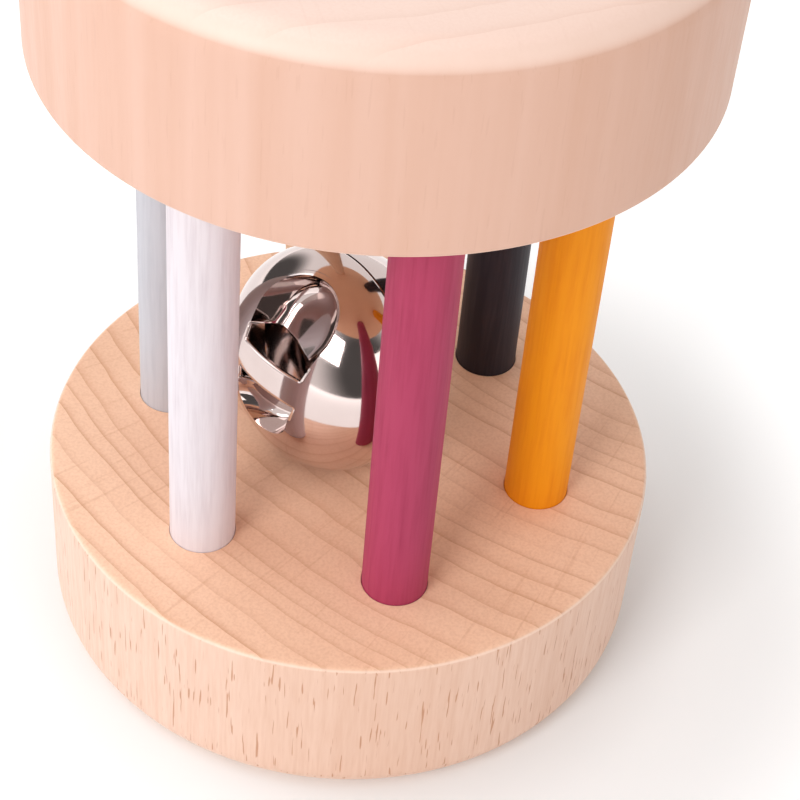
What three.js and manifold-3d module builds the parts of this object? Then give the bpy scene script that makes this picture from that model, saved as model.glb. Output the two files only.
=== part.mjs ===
// Rolling rattle: two turned beech discs joined by a ring of painted dowels, and a loose ball bell in the cage.
// Millimetres, +Z up. The origin is the centre of the lower disc's flat underside.
import * as THREE from 'three';
import { mergeVertices } from 'three/addons/utils/BufferGeometryUtils.js';
import Module from 'manifold-3d';

// End discs
const DISC_DIAMETER = 70;
const DISC_THICKNESS = 21.5;
const DISC_GAP = 57;
const OUTER_EDGE_RADIUS = 3.5;
const INNER_EDGE_RADIUS = 0.6;

// Dowels, glued into blind holes in both discs
const DOWEL_DIAMETER = 7.3;
const DOWEL_INSET = 12.5;
const DOWEL_HOLE_DEPTH = 12;
const DOWEL_SIDE_CLEARANCE = 0.15;
const DOWEL_END_CLEARANCE = 0.3;
const DOWEL_CHAMFER = 0.6;

// Ball bell, lying loose on the lower disc: how far it has rolled from the middle, as a share of its free
// play, which way it has rolled, and how its strap points, in degrees
const BELL_DIAMETER = 26;
const BELL_CAP_HEIGHT = 9.4;
const BELL_WALL = 0.6;
const BELL_REST_GAP = 0.3;
const BELL_DRIFT_SHARE = 0.6;
const BELL_DRIFT_AZIMUTH = 207;
const BELL_POLE_AZIMUTH = 238;
const BELL_POLE_ELEVATION = 15;
const BELL_STRAP_TURN = 2;

// Lanced strap across the bell's pole, with a window and a pressed-in scoop on each side of it
const STRAP_WIDTH = 3.4;
const WINDOW_LENGTH = 9.4;
const WINDOW_WIDTH = 1.8;
const SCOOP_WIDTH = 10.8;
const SCOOP_CENTRE = 6.5;
const SCOOP_REACH = 11.5;
const SCOOP_SKEW = 0.08;
const SCOOP_DEPTH = 2.6;
const SCOOP_SLOPE = 0.62;

// Lapped seam at the bell's equator, and the crossed sound slots in the cup
const SEAM_GAP = 0.3;
const LAP_HEIGHT = 1;
const SLOT_WIDTH = 1.6;
const SLOT_SPAN = 12;
const SLOT_END_DIAMETER = 3.4;

// Loose pellet that strikes the bell
const PELLET_DIAMETER = 5;
const PELLET_REST_GAP = 0.3;

// Faceting
const DISC_SIDES = 80;
const EDGE_STEPS = 6;
const DOWEL_SIDES = 32;
const BELL_SIDES = 48;
const BELL_STEPS = 12;
const SCOOP_SIDES = 24;
const SLOT_END_SIDES = 20;
const PELLET_SIDES = 20;

const wasm = await Module();
wasm.setup();

// A closed geometry as a solid: vertices welded, and the slivers that a lathe leaves on its axis dropped.
function solidOf(geometry) {
  const bare = geometry.clone();
  bare.deleteAttribute('normal');
  bare.deleteAttribute('uv');
  const welded = mergeVertices(bare, 1e-4);
  const index = welded.index.array;
  const triVerts = [];
  for (let i = 0; i < index.length; i += 3) {
    const [a, b, c] = [index[i], index[i + 1], index[i + 2]];
    if (a !== b && b !== c && c !== a) triVerts.push(a, b, c);
  }
  const mesh = new wasm.Mesh({
    numProp: 3,
    vertProperties: new Float32Array(welded.attributes.position.array),
    triVerts: new Uint32Array(triVerts),
  });
  return new wasm.Manifold(mesh);
}

// A named mesh of a solid.
function piece(name, solid, finish) {
  const { vertProperties, triVerts } = solid.getMesh();
  const geometry = new THREE.BufferGeometry();
  geometry.setAttribute('position', new THREE.BufferAttribute(new Float32Array(vertProperties), 3));
  geometry.setIndex(new THREE.BufferAttribute(new Uint32Array(triVerts), 1));
  geometry.computeVertexNormals();
  const mesh = new THREE.Mesh(geometry, finish);
  mesh.name = name;
  return mesh;
}

// A profile of [radius, height] pairs turned about +Z, starting and ending on the axis.
function turned(profile, sides) {
  const points = profile.map(([radius, height]) => new THREE.Vector2(radius, height));
  return new THREE.LatheGeometry(points, sides).rotateX(Math.PI / 2);
}

// Points of an arc about [radius, height]; angles in degrees, from the outward direction towards +Z.
function arc(radius, height, bend, from, to, steps) {
  const points = [];
  for (let i = 0; i <= steps; i += 1) {
    const angle = THREE.MathUtils.degToRad(from + ((to - from) * i) / steps);
    points.push([radius + bend * Math.cos(angle), height + bend * Math.sin(angle)]);
  }
  return points;
}

// Points of a dome's section from one angle to another, by its radius at the seam and its height at the pole.
function dome(radius, height, from, to) {
  return arc(0, 0, 1, from, to, BELL_STEPS).map(([out, up]) => [radius * out, height * up]);
}

// Height of a dome at a distance from its axis.
function domeHeight(radius, height, distance) {
  return height * Math.sqrt(1 - (distance / radius) ** 2);
}

function material(color, roughness, metalness) {
  return new THREE.MeshStandardMaterial({ color, roughness, metalness });
}

// End disc: flat faces, a broad roundover outside and a broken edge inside, and a ring of blind holes.
function discSolid(dowelCount) {
  const radius = DISC_DIAMETER / 2;
  const broad = OUTER_EDGE_RADIUS;
  const small = INNER_EDGE_RADIUS;
  const profile = [
    [0, 0],
    ...arc(radius - broad, broad, broad, -90, 0, EDGE_STEPS),
    ...arc(radius - small, DISC_THICKNESS - small, small, 0, 90, 2),
    [0, DISC_THICKNESS],
  ];
  const holeRadius = DOWEL_DIAMETER / 2 + DOWEL_SIDE_CLEARANCE;
  const hole = turned([
    [0, DISC_THICKNESS - DOWEL_HOLE_DEPTH],
    [holeRadius, DISC_THICKNESS - DOWEL_HOLE_DEPTH],
    [holeRadius, DISC_THICKNESS + DOWEL_HOLE_DEPTH],
    [0, DISC_THICKNESS + DOWEL_HOLE_DEPTH],
  ], DOWEL_SIDES);
  let disc = solidOf(turned(profile, DISC_SIDES));
  for (let i = 0; i < dowelCount; i += 1) {
    const [x, y] = ringPlace(i, dowelCount);
    disc = disc.subtract(solidOf(hole.clone().translate(x, y, 0)));
  }
  return disc;
}

const DOWEL_RING_DIAMETER = DISC_DIAMETER - 2 * DOWEL_INSET;

// Place of one dowel on the ring.
function ringPlace(i, count) {
  const angle = (i / count) * 2 * Math.PI;
  return [(DOWEL_RING_DIAMETER / 2) * Math.cos(angle), (DOWEL_RING_DIAMETER / 2) * Math.sin(angle)];
}

// Dowel standing on z = 0, chamfered at both ends.
function dowelSolid() {
  const length = DISC_GAP + 2 * (DOWEL_HOLE_DEPTH - DOWEL_END_CLEARANCE);
  const radius = DOWEL_DIAMETER / 2;
  return solidOf(turned([
    [0, 0],
    [radius - DOWEL_CHAMFER, 0],
    [radius, DOWEL_CHAMFER],
    [radius, length - DOWEL_CHAMFER],
    [radius - DOWEL_CHAMFER, length],
    [0, length],
  ], DOWEL_SIDES));
}

const BELL_RADIUS = BELL_DIAMETER / 2;
const BELL_INNER_RADIUS = BELL_RADIUS - BELL_WALL;

// Plan of a scoop's mouth, seen along the pole: in from the window's ends and over an arch.
function scoopMouth(grow) {
  const points = [[WINDOW_LENGTH / 2 + grow, STRAP_WIDTH / 2]];
  for (let i = 0; i <= SCOOP_SIDES; i += 1) {
    const angle = (i / SCOOP_SIDES) * Math.PI;
    points.push([
      (SCOOP_WIDTH / 2 + grow) * Math.cos(angle),
      SCOOP_CENTRE + (SCOOP_REACH - SCOOP_CENTRE + grow) * Math.sin(angle),
    ]);
  }
  points.push([-WINDOW_LENGTH / 2 - grow, STRAP_WIDTH / 2]);
  return points;
}

// One level of a scoop: its mouth drawn in towards the strap, and lowered from the skin towards the floor.
function scoopLevel(grow, drawnIn, lowered) {
  return scoopMouth(grow).map(([mouthX, mouthY]) => {
    const rimX = mouthX + SCOOP_SKEW * (mouthY - STRAP_WIDTH / 2);
    const x = rimX * (1 - drawnIn);
    const y = mouthY + (STRAP_WIDTH / 2 - mouthY) * drawnIn;
    const skin = domeHeight(BELL_RADIUS, BELL_CAP_HEIGHT, Math.min(Math.hypot(rimX, mouthY), BELL_RADIUS));
    const floor = BELL_CAP_HEIGHT - SCOOP_DEPTH - SCOOP_SLOPE * (y - STRAP_WIDTH / 2) - grow;
    return [x, y, skin + (floor - skin) * lowered];
  });
}

// Closed solid through levels of equal length, the first one uppermost, each end closed by a fan.
function loft(levels) {
  const count = levels[0].length;
  const mean = (level, axis) => level.reduce((sum, point) => sum + point[axis], 0) / count;
  const middle = (level) => [0, 1, 2].map((axis) => mean(level, axis));
  const points = [...levels.flat(), middle(levels[0]), middle(levels[levels.length - 1])];
  const last = (levels.length - 1) * count;
  const index = [];
  for (let i = 0; i < count; i += 1) {
    const next = (i + 1) % count;
    index.push(points.length - 2, i, next, points.length - 1, last + next, last + i);
    for (let start = 0; start < last; start += count) {
      index.push(start + i, start + count + i, start + next);
      index.push(start + next, start + count + i, start + count + next);
    }
  }
  const geometry = new THREE.BufferGeometry();
  geometry.setAttribute('position', new THREE.Float32BufferAttribute(points.flat(), 3));
  geometry.setIndex(index);
  return geometry;
}

// Form of one scoop, grown outward by a thickness and kept at a distance from the strap.
function scoopForm(side, grow, clearOfStrap) {
  const form = loft([
    scoopLevel(grow, -0.3, -0.8),
    scoopLevel(grow, 0, 0),
    scoopLevel(grow, 0.16, 0.62),
    scoopLevel(grow, 0.3, 0.9),
    scoopLevel(grow, 0.46, 1),
  ]);
  const keep = new THREE.BoxGeometry(2 * BELL_DIAMETER, BELL_DIAMETER, 4 * BELL_DIAMETER);
  keep.translate(0, STRAP_WIDTH / 2 + clearOfStrap + BELL_DIAMETER / 2, 0);
  const turn = side > 0 ? 0 : 180;
  return solidOf(form).intersect(solidOf(keep)).rotate([0, 0, turn]);
}

// Bell half with the strap: a spun shell about +Z, lanced along both edges of the strap and pressed in.
function bellCapSolid() {
  const outside = dome(BELL_RADIUS, BELL_CAP_HEIGHT, 0, 90);
  const inside = dome(BELL_INNER_RADIUS, BELL_CAP_HEIGHT - BELL_WALL, 90, 0);
  const filled = solidOf(turned([[0, 0], ...outside], BELL_SIDES));
  let cap = solidOf(turned([...inside, ...outside], BELL_SIDES));
  for (const side of [1, -1]) {
    const pan = scoopForm(side, BELL_WALL, WINDOW_WIDTH).intersect(filled);
    cap = cap.add(pan).subtract(scoopForm(side, 0, 0));
  }
  return cap;
}

// Bell half with the sound slots: a spun shell below its seam, with a joggled lip that enters the cap.
function bellCupSolid() {
  const lipRadius = BELL_INNER_RADIUS - SEAM_GAP;
  const ledge = -SEAM_GAP;
  const underside = ledge - BELL_WALL;
  const outerStart = THREE.MathUtils.radToDeg(Math.asin(ledge / BELL_RADIUS));
  const innerStart = THREE.MathUtils.radToDeg(Math.asin(underside / BELL_INNER_RADIUS));
  let cup = solidOf(turned([
    ...dome(BELL_RADIUS, BELL_RADIUS, -90, outerStart),
    [lipRadius, ledge],
    [lipRadius, LAP_HEIGHT],
    [lipRadius - BELL_WALL, LAP_HEIGHT],
    [lipRadius - BELL_WALL, underside],
    ...dome(BELL_INNER_RADIUS, BELL_INNER_RADIUS, innerStart, -90),
  ], BELL_SIDES));
  const slotReach = (SLOT_SPAN + SLOT_END_DIAMETER) / 2;
  const slotTop = BELL_WALL - domeHeight(BELL_INNER_RADIUS, BELL_INNER_RADIUS, slotReach);
  const slotBottom = -BELL_RADIUS - BELL_WALL;
  const slotDepth = slotTop - slotBottom;
  const slot = solidOf(new THREE.BoxGeometry(SLOT_SPAN, SLOT_WIDTH, slotDepth));
  const end = solidOf(turned([
    [0, -slotDepth / 2],
    [SLOT_END_DIAMETER / 2, -slotDepth / 2],
    [SLOT_END_DIAMETER / 2, slotDepth / 2],
    [0, slotDepth / 2],
  ], SLOT_END_SIDES));
  const oneSlot = slot.add(end.translate([SLOT_SPAN / 2, 0, 0])).add(end.translate([-SLOT_SPAN / 2, 0, 0]));
  for (const turn of [0, 90]) {
    cup = cup.subtract(oneSlot.rotate([0, 0, turn]).translate([0, 0, slotBottom + slotDepth / 2]));
  }
  return cup;
}

// Discs: the upper one is the lower one turned over.
const beech = material(0xe9bf9d, 0.6, 0);
const DOWEL_PAINTS = [
  ['dowel_orange', material(0xe8930f, 0.55, 0)],
  ['dowel_black', material(0x27222a, 0.55, 0)],
  ['dowel_plain', material(0xe6bd98, 0.6, 0)],
  ['dowel_grey', material(0xc3cbd1, 0.55, 0)],
  ['dowel_white', material(0xeae4ea, 0.55, 0)],
  ['dowel_magenta', material(0xba4a6d, 0.55, 0)],
];
const rattle = new THREE.Group();
const disc = discSolid(DOWEL_PAINTS.length);
rattle.add(piece('lower_disc', disc, beech));
const upperDisc = piece('upper_disc', disc, beech.clone());
upperDisc.rotation.x = Math.PI;
upperDisc.position.z = 2 * DISC_THICKNESS + DISC_GAP;
rattle.add(upperDisc);

// Dowels: one colour each, counted round the ring from +X.
DOWEL_PAINTS.forEach(([name, paint], i) => {
  const dowel = piece(name, dowelSolid(), paint);
  const [x, y] = ringPlace(i, DOWEL_PAINTS.length);
  dowel.position.set(x, y, DISC_THICKNESS - DOWEL_HOLE_DEPTH + DOWEL_END_CLEARANCE);
  rattle.add(dowel);
});

// Bell: its pole is turned down from +Z and round, and its strap is turned about the pole.
const freePlay = DOWEL_RING_DIAMETER / 2 - DOWEL_DIAMETER / 2 - BELL_RADIUS;
const drift = THREE.MathUtils.degToRad(BELL_DRIFT_AZIMUTH);
const bell = new THREE.Group();
bell.position.set(
  BELL_DRIFT_SHARE * freePlay * Math.cos(drift),
  BELL_DRIFT_SHARE * freePlay * Math.sin(drift),
  DISC_THICKNESS + BELL_REST_GAP + BELL_RADIUS,
);
const shell = new THREE.Group();
shell.rotation.order = 'ZYX';
shell.rotation.y = THREE.MathUtils.degToRad(90 - BELL_POLE_ELEVATION);
shell.rotation.z = THREE.MathUtils.degToRad(BELL_POLE_AZIMUTH);
for (const half of [
  piece('bell_cap', bellCapSolid(), material(0xcfc6bf, 0.12, 1)),
  piece('bell_cup', bellCupSolid(), material(0xcfc6bf, 0.12, 1)),
]) {
  half.rotation.z = THREE.MathUtils.degToRad(90 + BELL_STRAP_TURN);
  shell.add(half);
}
bell.add(shell);

// Pellet: lying on the lowest point inside the bell.
const pelletBall = new THREE.SphereGeometry(PELLET_DIAMETER / 2, PELLET_SIDES, PELLET_SIDES / 2);
const pellet = piece('bell_pellet', solidOf(pelletBall.rotateX(Math.PI / 2)), material(0x9a9a9c, 0.3, 1));
pellet.position.z = PELLET_DIAMETER / 2 + PELLET_REST_GAP - BELL_INNER_RADIUS;
bell.add(pellet);
rattle.add(bell);

export default rattle;
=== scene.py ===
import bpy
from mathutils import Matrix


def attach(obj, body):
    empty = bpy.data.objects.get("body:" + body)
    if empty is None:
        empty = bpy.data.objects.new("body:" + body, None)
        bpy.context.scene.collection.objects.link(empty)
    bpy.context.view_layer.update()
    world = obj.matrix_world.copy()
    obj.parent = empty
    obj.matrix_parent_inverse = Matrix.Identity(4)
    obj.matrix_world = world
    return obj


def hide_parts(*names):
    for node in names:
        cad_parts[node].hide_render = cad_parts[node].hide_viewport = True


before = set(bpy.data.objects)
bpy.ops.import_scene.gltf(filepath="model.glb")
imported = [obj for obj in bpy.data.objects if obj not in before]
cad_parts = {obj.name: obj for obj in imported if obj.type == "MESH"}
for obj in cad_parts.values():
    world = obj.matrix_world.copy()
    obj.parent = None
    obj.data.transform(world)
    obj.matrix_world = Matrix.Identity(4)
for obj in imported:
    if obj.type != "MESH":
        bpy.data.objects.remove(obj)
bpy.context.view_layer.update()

from collections import namedtuple

import bmesh
import bpy
import numpy as np
from mathutils import Euler, Matrix, Vector

# Camera: a long lens close above the toy, looking down past the upper disc into the cage.
# The frame cuts off the top of the upper disc, which stands nearest to the lens.
mm = 0.001
lens_mm, sensor_mm, nearest_mm = 94.99, 36.0, 10.0
camera_place_mm = (44.747, -170.137, 196.961)
camera_tip, camera_roll, camera_swing = np.radians((46.076, -3.849, 16.692))
camera_data = bpy.data.cameras.new("camera")
camera_data.lens = lens_mm
camera_data.sensor_width = sensor_mm
camera_data.clip_start = nearest_mm * mm
camera = bpy.data.objects.new("camera", camera_data)
camera_turn = Euler((camera_tip, camera_roll, camera_swing))
camera.matrix_world = Matrix.LocRotScale(Vector(camera_place_mm) * mm, camera_turn, None)
bpy.context.scene.collection.objects.link(camera)
bpy.context.scene.camera = camera

# Studio: a white paper sheet for a floor, in a room lit from a window on the left and by three soft lamps.
# The backdrop is white to the eye and in the metal, which also shows where the room is dim:
# behind the lens and low on the far left.
bpy.context.scene.view_settings.view_transform = "Standard"


def feed(tree, node, values):
    """Give each input of a node its plain value, or a link where the value is another node's output."""
    for key, value in values.items():
        if isinstance(value, bpy.types.NodeSocket):
            tree.links.new(value, node.inputs[key])
        else:
            node.inputs[key].default_value = value


def add_node(tree, kind, values, **settings):
    """A new node with its settings and its input values."""
    node = tree.nodes.new(kind)
    for key, value in settings.items():
        setattr(node, key, value)
    feed(tree, node, values)
    return node


def arithmetic(tree, operation, first, *others):
    """Numbers or links put together one after another by an operation, or one value put through it."""
    for other in others or (0.0,):
        first = add_node(tree, "ShaderNodeMath", {0: first, 1: other}, operation=operation).outputs[0]
    return first


def ramp(tree, value, low, high, start=0.0, end=1.0, shape="LINEAR"):
    """A value that runs from low to high made to run from start to end, and held at both ends."""
    limits = {"Value": value, "From Min": low, "From Max": high, "To Min": start, "To Max": end}
    return add_node(tree, "ShaderNodeMapRange", limits, interpolation_type=shape).outputs[0]


def seen_directly(tree, path):
    """1 for a look by the camera, in metal or through glass, and 0 for light that falls on things."""
    looks = [path.outputs[f"Is {kind} Ray"] for kind in ("Camera", "Glossy", "Transmission")]
    return arithmetic(tree, "MAXIMUM", *looks)


world = bpy.data.worlds.new("surroundings")
bpy.context.scene.world = world
world.use_nodes = True
room = world.node_tree
room.nodes.clear()
toward = add_node(room, "ShaderNodeTexCoord", {}).outputs["Generated"]
room_path = add_node(room, "ShaderNodeLightPath", {})


def lit_from(direction, low, high, start, end):
    """Brightness by how nearly a view into the room runs along a direction, as the cosine between them."""
    along = add_node(room, "ShaderNodeVectorMath", {0: toward, 1: direction}, operation="DOT_PRODUCT")
    return ramp(room, along.outputs["Value"], low, high, start, end, "SMOOTHSTEP")


window_side = lit_from((-0.87, -0.35, 0.35), -0.60, 0.90, 0.54, 1.0)
dim_behind_lens = lit_from((0.45, -0.80, 0.39), 0.50, 0.90, 1.0, 0.10)
dim_corner = lit_from((-0.87, 0.46, 0.15), 0.86, 0.97, 1.0, 0.10)
white_wall = arithmetic(room, "MAXIMUM", window_side, seen_directly(room, room_path))
room_light = arithmetic(room, "MULTIPLY", white_wall, dim_behind_lens, dim_corner)
backdrop = arithmetic(room, "MAXIMUM", room_light, room_path.outputs["Is Camera Ray"])
wall_tone = (1.0, 0.99, 0.985, 1.0)
glow = add_node(room, "ShaderNodeBackground", {"Color": wall_tone, "Strength": backdrop})
add_node(room, "ShaderNodeOutputWorld", {"Surface": glow.outputs[0]})

for lamp_name, lamp_watts, lamp_size, lamp_tint, lamp_place in (
    ("key_lamp", 2.68, 0.32, (0.99, 0.99, 1.0), (-0.21, -0.61, 0.47)),
    ("window_lamp", 0.86, 0.40, (0.90, 0.96, 1.0), (-0.50, 0.02, 0.40)),
    ("fill_lamp", 1.55, 0.50, (1.0, 0.97, 0.94), (0.60, -0.42, 0.28)),
):
    lamp_data = bpy.data.lights.new(lamp_name, "AREA")
    lamp_data.shape = "SQUARE"
    lamp_data.size = lamp_size
    lamp_data.energy = lamp_watts
    lamp_data.color = lamp_tint
    lamp = bpy.data.objects.new(lamp_name, lamp_data)
    lamp.location = lamp_place
    lamp.rotation_euler = (-lamp.location).to_track_quat("-Z", "Y").to_euler()
    bpy.context.scene.collection.objects.link(lamp)

weld_mm, crease_degrees = 0.002, 30.0


def grid_faces(rows, columns, first, closed):
    """Quads of a rows x columns grid of points numbered from first, joined round when closed."""
    i = np.arange(rows - 1)[:, None]
    j = np.arange(columns if closed else columns - 1)[None, :]
    after = (j + 1) % columns
    quads = np.stack([i * columns + j, i * columns + after,
                      (i + 1) * columns + after, (i + 1) * columns + j], axis=-1)
    return first + quads.reshape(-1, 4)


def new_piece(name, grids, crease=crease_degrees, up=None):
    """A mesh object of one or more point grids in millimetres, welded where they meet.

    Each grid is (points of shape rows x columns x 3, closed). Faces point outwards, or along up on a sheet.
    """
    points = np.concatenate([grid.reshape(-1, 3) for grid, closed in grids]) * mm
    starts = np.cumsum([0] + [grid.shape[0] * grid.shape[1] for grid, closed in grids])
    faces = np.concatenate([grid_faces(grid.shape[0], grid.shape[1], first, closed)
                            for (grid, closed), first in zip(grids, starts)])
    mesh = bpy.data.meshes.new(name)
    mesh.from_pydata(points.tolist(), [], faces.tolist())
    work = bmesh.new()
    work.from_mesh(mesh)
    bmesh.ops.remove_doubles(work, verts=work.verts, dist=weld_mm * mm)
    bmesh.ops.recalc_face_normals(work, faces=work.faces)
    if up is not None:
        facing = sum(face.normal.dot(up) * face.calc_area() for face in work.faces)
        if facing < 0:
            bmesh.ops.reverse_faces(work, faces=work.faces)
    work.to_mesh(mesh)
    work.free()
    mesh.polygons.foreach_set("use_smooth", np.ones(len(mesh.polygons), bool))
    mesh.set_sharp_from_angle(angle=np.radians(crease))
    piece = bpy.data.objects.new(name, mesh)
    bpy.context.scene.collection.objects.link(piece)
    return piece


def new_finish(name):
    """A new material, with its node tree and its one surface shader."""
    finish = bpy.data.materials.new(name)
    finish.use_nodes = True
    return finish, finish.node_tree, finish.node_tree.nodes["Principled BSDF"]


def on_piece(tree):
    """A link to the place on the piece, in metres in the toy's frame."""
    return add_node(tree, "ShaderNodeTexCoord", {}).outputs["Object"]


floor_half_mm, floor_drop_mm = 900.0, 0.05
spread = np.linspace(-floor_half_mm, floor_half_mm, 5)
floor_points = np.stack(np.meshgrid(spread, spread, [-floor_drop_mm], indexing="ij"), axis=-1)[:, :, 0]
floor = new_piece("floor", [(floor_points, False)], up=(0, 0, 1))

# The sheet whitens away from the toy, in three steps: distances in metres from its axis, then the lift there.
# The small lift close to the toy keeps the floor greyer round its foot: a painted shadow.
sheet_lifts_with_painted_shadow = ((0.034, 0.046, 0.05, 0.15), (0.050, 0.075, 0.0, 0.22), (0.12, 0.70, 0.0, 0.38))
sheet_white, sheet, paper = new_finish("sheet_white")
away = add_node(sheet, "ShaderNodeVectorMath", {0: on_piece(sheet)}, operation="LENGTH").outputs["Value"]
lift = arithmetic(sheet, "ADD", *[ramp(sheet, away, *step, "SMOOTHSTEP") for step in sheet_lifts_with_painted_shadow])
sheet_path = add_node(sheet, "ShaderNodeLightPath", {})
feed(sheet, paper, {
    "Base Color": (0.86, 0.86, 0.86, 1.0),
    "Roughness": 0.9,
    "Specular IOR Level": 0.1,
    "Emission Color": (1.0, 1.0, 1.0, 1.0),
    "Emission Strength": arithmetic(sheet, "MULTIPLY", lift, seen_directly(sheet, sheet_path)),
})
floor.data.materials.append(sheet_white)


# End discs: two thick rounds of beech, turned with the fibres along the toy's axis, so that the faces
# are end grain. The outer edges are well rounded and the inner ones just broken.
# Six blind holes in each disc hold the dowels.
disc_radius, disc_thickness, disc_gap, disc_sides = 35.0, 21.5, 57.0, 240
outer_edge, inner_edge = 3.5, 0.6
side_inset_outer, side_inset_inner = 3.0, 1.5
dowel_radius, dowel_ring, dowel_hole_depth = 3.65, 22.5, 12.0
dowel_count, hole_clearance, hole_lip, face_crowding = 6, 0.05, 0.06, 1.3
hole_radius = dowel_radius + hole_clearance
half_sector = 180 / dowel_count


def lathe(profile, sides):
    """Grid of a profile of (radius, height) rows carried once round the Z axis."""
    radius, height = np.asarray(profile, float).T
    turn = np.linspace(0, 2 * np.pi, sides, endpoint=False)
    return np.stack([radius[:, None] * np.cos(turn), radius[:, None] * np.sin(turn),
                     np.repeat(height[:, None], sides, axis=1)], axis=-1)


def bend(radius, height, size, start, end, steps):
    """(radius, height) rows of an arc of that size about a centre, between two angles in degrees."""
    angle = np.radians(np.linspace(start, end, steps + 1))
    return np.stack([radius + size * np.cos(angle), height + size * np.sin(angle)], axis=-1)


def holed_sector(rim, turn):
    """Grid of one dowel's share of a disc's inner face with its hole, closed round the hole.

    Columns run round the sector's border; rows run from the hole's floor up its wall and out to the border,
    crowded near the hole.
    """
    along = np.linspace(0, rim, 25)
    sweep = np.radians(np.linspace(-half_sector, half_sector, 41))
    low, high = np.radians([-half_sector, half_sector])
    border = np.concatenate([
        along[:, None] * [np.cos(low), np.sin(low)],
        rim * np.stack([np.cos(sweep), np.sin(sweep)], axis=-1)[1:],
        along[::-1][1:-1, None] * [np.cos(high), np.sin(high)],
    ])
    centre = np.array([dowel_ring, 0.0])
    away = border - centre
    wall = centre + hole_radius * away / np.linalg.norm(away, axis=1, keepdims=True)
    lip = centre + (wall - centre) * (1 + hole_lip / hole_radius)
    share = np.linspace(0, 1, 13)[:, None, None] ** face_crowding
    flat = lip + (border - lip) * share
    plan = np.concatenate([np.broadcast_to(centre, wall.shape)[None], wall[None], wall[None], flat])
    hole_floor = disc_thickness - dowel_hole_depth
    height = np.concatenate([[hole_floor, hole_floor, disc_thickness - hole_lip],
                             np.full(len(flat), disc_thickness)])
    c, s = np.cos(turn), np.sin(turn)
    x, y = plan[..., 0], plan[..., 1]
    return np.stack([c * x - s * y, s * x + c * y, np.repeat(height[:, None], len(border), axis=1)], axis=-1)


def disc_grids():
    """Grids of a disc with its outer face on z = 0: the turned outside, then the holed sectors."""
    flat_radius, rim = disc_radius - outer_edge, disc_radius - inner_edge
    side_start, side_end = outer_edge + side_inset_outer, disc_thickness - inner_edge - side_inset_inner
    profile = np.concatenate([
        np.stack([np.linspace(0, flat_radius, 12)[:-1], np.zeros(11)], axis=-1),
        bend(flat_radius, outer_edge, outer_edge, -90, 0, 14),
        [[disc_radius, height] for height in np.linspace(side_start, side_end, 5)],
        bend(rim, disc_thickness - inner_edge, inner_edge, 0, 90, 6),
    ])
    sectors = [(holed_sector(rim, np.radians(2 * half_sector * k)), True) for k in range(dowel_count)]
    return [(lathe(profile, disc_sides), True)] + sectors


def cloud(tree, spot, scale, detail, roughness=0.5):
    """Cloudy noise of about 0 to 1 over a link of coordinates."""
    values = {"Vector": spot, "Scale": scale, "Detail": detail, "Roughness": roughness}
    return add_node(tree, "ShaderNodeTexNoise", values).outputs[0]


def laid_over(tree, amount, ground, tone):
    """A tone laid over a ground colour by an amount of 0 to 1."""
    return add_node(tree, "ShaderNodeMix", {0: amount, 6: ground, 7: tone}, data_type="RGBA").outputs[2]


BeechTones = namedtuple("BeechTones", "top under side edge ring fleck")
BeechGrain = namedtuple("BeechGrain", "rings fibres fibre_rate flecks")


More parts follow.
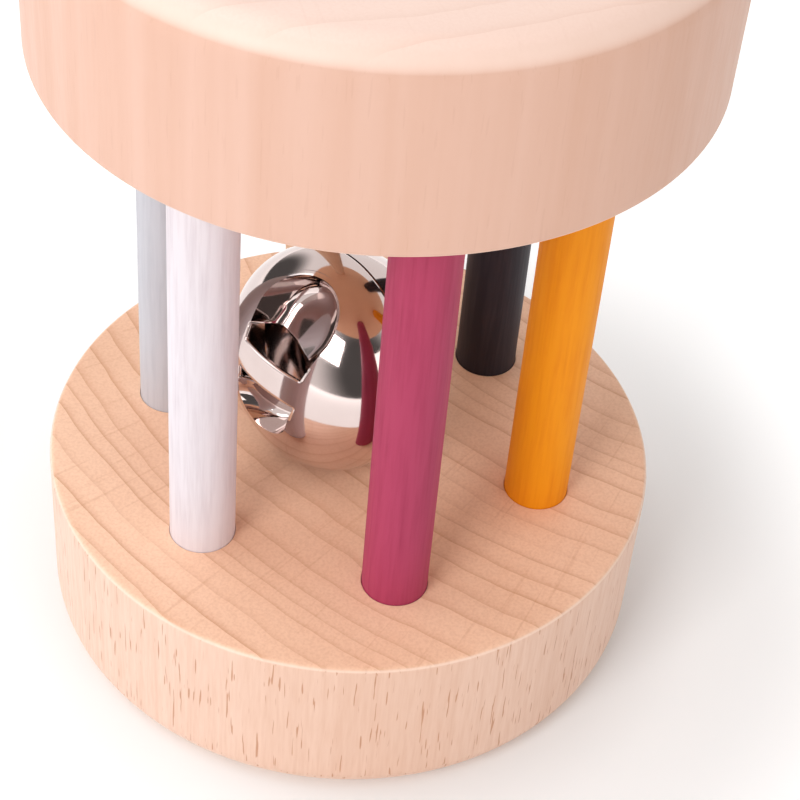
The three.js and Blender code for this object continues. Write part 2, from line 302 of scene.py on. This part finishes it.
def beech_finish(name, pith, tones, grain):
    """Beech with its fibres along Z: growth rings round the pith on the faces, short flecks on the sides.

    Places are in millimetres from the pith. Rings are counted outwards, at an uneven pace, and each darkens
    towards its late edge.
    """
    finish, tree, wood = new_finish(name)
    to_mm = add_node(tree, "ShaderNodeMapping", {
        "Vector": on_piece(tree), "Location": (-pith[0], -pith[1], 0.0), "Scale": (1 / mm, 1 / mm, 1 / mm)})
    x, y, z = add_node(tree, "ShaderNodeSeparateXYZ", {0: to_mm.outputs[0]}).outputs

    def times(*values):
        """The product of numbers or links."""
        return arithmetic(tree, "MULTIPLY", *values)

    def noise(spot, rates, low, high, detail=1.0):
        """Noise over three coordinates at their own rates, spread from 0 at low to 1 at high."""
        stretched = {axis: times(spot[axis], rates[axis]) for axis in range(3)}
        coordinates = add_node(tree, "ShaderNodeCombineXYZ", stretched).outputs[0]
        return ramp(tree, cloud(tree, coordinates, 1.0, detail, 0.55), low, high)

    normal = add_node(tree, "ShaderNodeNewGeometry", {}).outputs["Normal"]
    facing_up = add_node(tree, "ShaderNodeSeparateXYZ", {0: normal}).outputs[2]
    end_grain = ramp(tree, arithmetic(tree, "ABSOLUTE", facing_up), 0.35, 0.85)
    side_grain = arithmetic(tree, "SUBTRACT", 1.0, end_grain)
    upward = arithmetic(tree, "GREATER_THAN", facing_up, 0.0)

    reach = arithmetic(tree, "SQRT", arithmetic(tree, "ADD", times(x, x), times(y, y)))
    bearing = arithmetic(tree, "ARCTAN2", y, x)
    sway = noise((x, y, z), (0.05, 0.05, 0.004), 0.0, 1.0, 3.0)
    pace = noise((reach, bearing, z), (0.11, 0.3, 0.002), 0.0, 1.0)
    count = arithmetic(tree, "ADD", times(reach, 0.34), times(sway, 0.9), times(pace, 2.4))
    late = arithmetic(tree, "POWER", arithmetic(tree, "FRACT", count), 6.0)
    ring_number = arithmetic(tree, "FLOOR", count)
    boldness = noise((ring_number, bearing, z), (3.7, 1.5, 0.01), 0.16, 0.70)
    broad = noise((reach, bearing, z), (0.05, 1.2, 0.004), 0.3, 0.7)
    pores = noise((x, y, z), (3.1, 3.1, 0.22), 0.38, 0.70, 2.0)
    rays = noise((reach, bearing, z), (0.07, 190.0, 0.12), 0.62, 0.74)
    fibres = noise((x, y, z), (grain.fibre_rate, grain.fibre_rate, 0.012), 0.35, 0.70, 2.0)
    flecks = times(noise((x, y, z), (3.2, 3.2, 0.21), 0.660, 0.70), side_grain)
    # A pale band round the rounded edges: partly paler sanded wood, partly a painted highlight along the
    # rims.
    sanded_edge_and_painted_highlight = times(end_grain, side_grain, 4.0)

    # Faces turned down take the under tone. On the upper disc it is darker, a painted shade beneath the disc;
    # on the lower disc it is the same as its top.
    colour = laid_over(tree, end_grain, tones.side, laid_over(tree, upward, tones.under, tones.top))
    for mark, share, tone in (
        (broad, 0.25, tones.ring),
        (times(late, boldness, end_grain), grain.rings, tones.ring),
        (times(pores, end_grain), 0.30 * grain.rings, tones.ring),
        (times(rays, end_grain), 0.27 * grain.rings, tones.ring),
        (times(fibres, side_grain), grain.fibres, tones.ring),
        (times(pores, side_grain), 0.20 * grain.flecks, tones.ring),
        (flecks, grain.flecks, tones.fleck),
        (sanded_edge_and_painted_highlight, 0.55, tones.edge),
    ):
        colour = laid_over(tree, times(mark, share), colour, tone)
    pitted = arithmetic(tree, "ADD", times(pores, 0.4), flecks)
    pitting = {"Strength": 0.05, "Distance": 0.0001, "Height": pitted}
    relief = add_node(tree, "ShaderNodeBump", pitting, invert=True)
    feed(tree, wood, {
        "Base Color": colour,
        "Roughness": ramp(tree, pores, 0.0, 1.0, 0.42, 0.58),
        "Specular IOR Level": 0.4,
        "Normal": relief.outputs[0],
    })
    return finish


def srgb(red, green, blue):
    """A display colour of 0 to 255 as linear values."""
    share = np.array([red, green, blue]) / 255
    linear = np.where(share <= 0.04045, share / 12.92, ((share + 0.055) / 1.055) ** 2.4)
    return (*linear.tolist(), 1.0)


# The edge tones colour that band, sanded wood and painted highlight; the upper disc's darker under tone is
# painted shade.
lower_tones = BeechTones(top=srgb(254, 211, 181), under=srgb(254, 211, 181), side=srgb(243, 208, 188),
                         edge=srgb(254, 228, 211), ring=srgb(203, 143, 104), fleck=srgb(192, 128, 88))
upper_tones = BeechTones(top=srgb(252, 222, 208), under=srgb(236, 184, 146), side=srgb(228, 187, 168),
                         edge=srgb(251, 222, 207), ring=srgb(206, 152, 120), fleck=srgb(186, 128, 98))
lower_grain = BeechGrain(rings=0.74, fibres=0.16, fibre_rate=1.1, flecks=0.72)
upper_grain = BeechGrain(rings=0.18, fibres=0.27, fibre_rate=0.33, flecks=0.08)
toy_height = 2 * disc_thickness + disc_gap
turned_over = [(grid * [1, -1, -1] + [0, 0, toy_height], closed) for grid, closed in disc_grids()]
lower_disc = new_piece("lower_disc_turned", disc_grids())
upper_disc = new_piece("upper_disc_turned", turned_over)
lower_disc.data.materials.append(beech_finish("beech_lower", (43.0, 79.0), lower_tones, lower_grain))
upper_disc.data.materials.append(beech_finish("beech_upper", (-62.0, 74.0), upper_tones, upper_grain))
for disc, node in ((lower_disc, "lower_disc"), (upper_disc, "upper_disc")):
    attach(disc, "cage")
    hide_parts(node)


# Dowels: six straight beech dowels glued into the discs, five dipped in a thin matt paint and one left plain.
# The grain shows through the paint as fine lines along each dowel.
dowel_chamfer, dowel_end_gap, dowel_row_inset, dowel_sides = 0.6, 0.3, 2.0, 96
dowel_foot = disc_thickness - dowel_hole_depth + dowel_end_gap
dowel_length = disc_gap + 2 * (dowel_hole_depth - dowel_end_gap)


def painted_finish(name, paint, worn, rough):
    """Thin paint over a dowel: streaks along Z in tone, gloss and relief."""
    finish, tree, coat = new_finish(name)
    place = on_piece(tree)
    drawn_out = add_node(tree, "ShaderNodeMapping", {"Vector": place, "Scale": (1000.0, 1000.0, 55.0)})
    streaks = cloud(tree, drawn_out.outputs[0], 1.6, 3.0, 0.6)
    patches = cloud(tree, place, 160.0, 2.0)
    wear = arithmetic(tree, "MULTIPLY", ramp(tree, streaks, 0.42, 0.72), patches)
    relief = add_node(tree, "ShaderNodeBump", {"Strength": 0.25, "Distance": 0.0002, "Height": streaks})
    feed(tree, coat, {
        "Base Color": laid_over(tree, wear, paint, worn),
        "Roughness": ramp(tree, streaks, 0.0, 1.0, rough, rough + 0.15),
        "Specular IOR Level": 0.25,
        "Normal": relief.outputs[0],
    })
    return finish


dowel_shoulder = dowel_radius - dowel_chamfer
dowel_profile = np.concatenate([
    [[0.0, 0.0]],
    bend(dowel_shoulder, dowel_chamfer, dowel_chamfer, -90, 0, 4),
    [[dowel_radius, height] for height in np.linspace(dowel_row_inset, dowel_length - dowel_row_inset, 12)],
    bend(dowel_shoulder, dowel_length - dowel_chamfer, dowel_chamfer, 0, 90, 4),
    [[0.0, dowel_length]],
])
dowel_paints = (
    ("orange", "orange_paint", srgb(248, 154, 10), srgb(232, 128, 4), 0.5),
    ("black", "black_paint", srgb(39, 34, 42), srgb(62, 54, 60), 0.45),
    ("plain", "beech", srgb(236, 197, 165), srgb(206, 156, 120), 0.55),
    ("grey", "grey_paint", srgb(199, 198, 204), srgb(181, 180, 187), 0.5),
    ("white", "white_paint", srgb(232, 224, 229), srgb(209, 197, 203), 0.5),
    ("magenta", "magenta_paint", srgb(174, 62, 95), srgb(152, 46, 77), 0.5),
)
for k, (shade, slot, paint, worn, rough) in enumerate(dowel_paints):
    turn = np.radians(2 * half_sector * k)
    foot = [dowel_ring * np.cos(turn), dowel_ring * np.sin(turn), dowel_foot]
    dowel = new_piece(f"dowel_{shade}_dipped", [(lathe(dowel_profile, dowel_sides) + foot, True)])
    dowel.data.materials.append(painted_finish(f"dowel_{shade}", paint, worn, rough))
    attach(dowel, "cage")
    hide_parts(f"dowel_{shade}")


# Bell cap: the front half of a loose ball bell, spun from thin sheet and plated with polished nickel.
# It is lanced along a strap across its pole, and the metal on each side of the strap is pressed in.
# Its rim laps over the other half, and the closed ball lies loose on the lower disc.
bell_radius, bell_wall, bell_cap_height, bell_rest_gap = 13.0, 0.6, 9.4, 0.3
bell_drift_share, bell_drift_azimuth = 0.6, np.radians(207)
pole_azimuth, pole_elevation, strap_turn = 238.0, 15.0, 2.0
strap_half, window_half, window_edge = 1.7, 4.7, 3.5
scoop_skew, scoop_slope, scoop_tilt = 0.08, 0.62, -0.30
scoop_wall_share, scoop_wall_bend, scoop_crowding = 0.46, 2.3, 1.25
cap_crease_degrees, skin_rows, touching = 28.0, 33, 1e-6
Scoop = namedtuple("Scoop", "half centre reach depth")
upper_scoop = Scoop(half=5.4, centre=6.5, reach=11.5, depth=2.6)
lower_scoop = Scoop(half=4.2, centre=4.6, reach=7.6, depth=2.0)
bell_drift = bell_drift_share * (dowel_ring - dowel_radius - bell_radius)
bell_centre = np.array([bell_drift * np.cos(bell_drift_azimuth), bell_drift * np.sin(bell_drift_azimuth),
                        disc_thickness + bell_rest_gap + bell_radius])


def turn_about(axis, degrees):
    """Rotation matrix about the Y or Z axis."""
    return np.array(Matrix.Rotation(np.radians(degrees), 3, axis))


pole_tip, strap_swing = 90 - pole_elevation, 90 + strap_turn
bell_turn = turn_about("Z", pole_azimuth) @ turn_about("Y", pole_tip) @ turn_about("Z", strap_swing)


def in_bell(points):
    """Points from the bell's own frame, with its pole on +Z and its strap along X, to the toy's frame."""
    return points @ bell_turn.T + bell_centre


def dome(plan):
    """Points on the flattened dome above a plan: height falls from the pole as an ellipse's does."""
    share = np.clip(1 - (plan ** 2).sum(-1) / bell_radius ** 2, 0, 1)
    return np.concatenate([plan, (bell_cap_height * np.sqrt(share))[..., None]], axis=-1)


def mouth(scoop):
    """Plan of a scoop's mouth: out from the strap, over an arch and back, leaning aside as it goes out."""
    angle = np.linspace(0, np.pi, 65)
    arch = np.stack([scoop.half * np.cos(angle),
                     scoop.centre + (scoop.reach - scoop.centre) * np.sin(angle)], axis=-1)
    out = np.concatenate([np.linspace(strap_half, window_edge, 7)[:-1],
                          np.linspace(window_edge, scoop.centre, 9)[:-1]])
    share = (out - strap_half) / (scoop.centre - strap_half)
    side = np.stack([window_half + (scoop.half - window_half) * share, out], axis=-1)
    plan = np.concatenate([side, arch, side[::-1] * [-1, 1]])
    return plan + (plan[:, 1:] - strap_half) * [scoop_skew, 0]


def skin_share():
    """Shares from a mouth or window out to the seam, as a sine, closing up where the dome turns steep."""
    return np.sin(np.linspace(0, np.pi / 2, skin_rows))


def skin_side(scoop):
    """Grid of the smooth skin beside a scoop: straight in plan from its mouth out to the seam."""
    inner = mouth(scoop)
    start = np.arcsin(strap_half / bell_radius)
    reach = np.linalg.norm(np.diff(inner, axis=0), axis=1).cumsum()
    share = np.concatenate([[0], reach / reach[-1]])
    angle = start + share * (np.pi - 2 * start)
    outer = bell_radius * np.stack([np.cos(angle), np.sin(angle)], axis=-1)
    return dome(inner + (outer - inner) * skin_share()[:, None, None])


def skin_strap():
    """Grids of the strap over the pole and of the skin that carries it at each end."""
    across = np.linspace(-strap_half, strap_half, 13)
    along = np.linspace(-window_half, window_half, skin_rows)
    middle = np.stack(np.meshgrid(along, across, indexing="ij"), axis=-1)
    edge = np.sqrt(bell_radius ** 2 - across ** 2)
    x = window_half + (edge - window_half) * skin_share()[:, None]
    end = np.stack([x, np.broadcast_to(across, x.shape)], axis=-1)
    return [dome(middle), dome(end), dome(end * [-1, 1])]


def pan(scoop):
    """Grid of a pressed scoop: from its mouth towards the middle of the strap's edge, as far as the window.

    It drops from the skin towards a sloping floor, steeply at first and then level.
    """
    rim = mouth(scoop)
    rim = rim[rim[:, 1] > window_edge - touching]
    skin = dome(rim)[:, 2]
    reach = (rim[:, 1] - window_edge) / (rim[:, 1] - strap_half)
    drawn = reach * np.linspace(0, 1, skin_rows)[:, None] ** scoop_crowding
    plan = rim + ([0, strap_half] - rim) * drawn[..., None]
    fall = scoop_slope * (plan[..., 1] - strap_half) + scoop_tilt * plan[..., 0]
    lowest = bell_cap_height - scoop.depth - fall
    lowered = 1 - (1 - np.clip(drawn / scoop_wall_share, 0, 1)) ** scoop_wall_bend
    return np.concatenate([plan, (skin + (lowest - skin) * lowered)[..., None]], axis=-1)


half_turn = np.array([-1.0, -1.0, 1.0])
cap_grids = skin_strap() + [skin_side(upper_scoop), skin_side(lower_scoop) * half_turn,
                            pan(upper_scoop), pan(lower_scoop) * half_turn]
placed_cap = [(in_bell(grid), False) for grid in cap_grids]
bell_cap = new_piece("bell_cap_pressed", placed_cap, cap_crease_degrees, up=tuple(bell_turn[:, 2]))
wall = bell_cap.modifiers.new("wall", "SOLIDIFY")
wall.thickness = bell_wall * mm
wall.offset = -1.0


def metal_finish(name, tone, dull_tone, rough, scratch):
    """Polished metal: broad uneven polish in the tone, and fine rub marks in the gloss."""
    finish, tree, metal = new_finish(name)
    place = on_piece(tree)
    rub = add_node(tree, "ShaderNodeMapping", {
        "Vector": place, "Rotation": (0.4, 0.3, 0.2), "Scale": (9000.0, 900.0, 5000.0)})
    marks = cloud(tree, rub.outputs[0], 1.0, 2.0)
    feed(tree, metal, {
        "Base Color": laid_over(tree, cloud(tree, place, 220.0, 4.0), tone, dull_tone),
        "Roughness": ramp(tree, marks, 0.3, 0.8, rough, rough + scratch),
        "Metallic": 1.0,
    })
    return finish


nickel = (srgb(217, 201, 197), srgb(202, 184, 179), 0.05, 0.06)
bell_cap.data.materials.append(metal_finish("nickel_bell_cap", *nickel))
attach(bell_cap, "bell")
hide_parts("bell_cap")


# Bell cup: the other half of the ball, spun from the same sheet and plated.
# Its lip is pushed up inside the cap's rim.
# Two crossed slots with a round hole at each end let the sound out.
seam_gap, lap_height, cup_sides = 0.3, 1.0, 192
slot_half, slot_end, slot_end_sweep = 6.0, 1.7, 152.0
slot_cut_low, slot_cut_high = -14.0, -9.5
inner_radius = bell_radius - bell_wall
lip_radius = inner_radius - seam_gap
lip_inside = lip_radius - bell_wall
lip_foot = -seam_gap - bell_wall


def round_rows(radius, start, end, steps):
    """(radius, height) rows of a ball's outline between two angles in degrees."""
    return bend(0.0, 0.0, radius, start, end, steps)


outer_end = -np.degrees(np.arcsin(seam_gap / bell_radius))
inner_start = np.degrees(np.arcsin(lip_foot / inner_radius))
cup_profile = np.concatenate([
    round_rows(bell_radius, -90, outer_end, 60),
    [[lip_radius, -seam_gap], [lip_radius, lap_height], [lip_inside, lap_height], [lip_inside, lip_foot]],
    round_rows(inner_radius, inner_start, -90, 40),
])
bell_cup = new_piece("bell_cup_slotted", [(in_bell(lathe(cup_profile, cup_sides)), True)])


def slot_cutter(turn):
    """A closed upright prism of one sound slot's outline: a narrow bar with a round hole at each end.

    Each end is an arc about the hole's centre, left open towards the bar.
    """
    swing = np.radians(np.linspace(-slot_end_sweep, slot_end_sweep, 49))
    end = np.stack([slot_half + slot_end * np.cos(swing), slot_end * np.sin(swing)], axis=-1)
    outline = np.concatenate([end, -end])
    rows = [outline * 0.0, outline, outline, outline * 0.0]
    heights = (slot_cut_low, slot_cut_low, slot_cut_high, slot_cut_high)
    grid = np.stack([np.concatenate([row, np.full((len(row), 1), height)], axis=1)
                     for row, height in zip(rows, heights)])
    return new_piece("slot_cutter", [(in_bell(grid @ turn_about("Z", turn).T), True)])


for turn in (0, 90):
    cutter = slot_cutter(turn)
    cut = bell_cup.modifiers.new("slot", "BOOLEAN")
    cut.operation = "DIFFERENCE"
    cut.solver = "EXACT"
    cut.object = cutter
    bpy.context.view_layer.update()
    finished_cup = bell_cup.evaluated_get(bpy.context.evaluated_depsgraph_get())
    cut_mesh = bpy.data.meshes.new_from_object(finished_cup)
    bell_cup.modifiers.clear()
    bell_cup.data = cut_mesh
    bpy.data.objects.remove(cutter)
bell_cup.data.set_sharp_from_angle(angle=np.radians(crease_degrees))
bell_cup.data.materials.append(metal_finish("nickel_bell_cup", *nickel))
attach(bell_cup, "bell")
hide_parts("bell_cup")


# Pellet: a small ground steel ball that lies loose in the bell and rings it when the toy rolls.
# Nothing holds it: the two halves of the bell are closed over it.
pellet_radius, pellet_rest_gap, pellet_sides = 2.5, 0.3, 48
steel = (srgb(176, 176, 178), srgb(150, 150, 153), 0.2, 0.15)
pellet_at = bell_centre + [0, 0, pellet_radius + pellet_rest_gap - inner_radius]
pellet_ball = lathe(round_rows(pellet_radius, -90, 90, 24), pellet_sides) + pellet_at
pellet = new_piece("bell_pellet_ball", [(pellet_ball, True)])
pellet.data.materials.append(metal_finish("steel_pellet", *steel))
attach(pellet, "pellet")
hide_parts("bell_pellet")
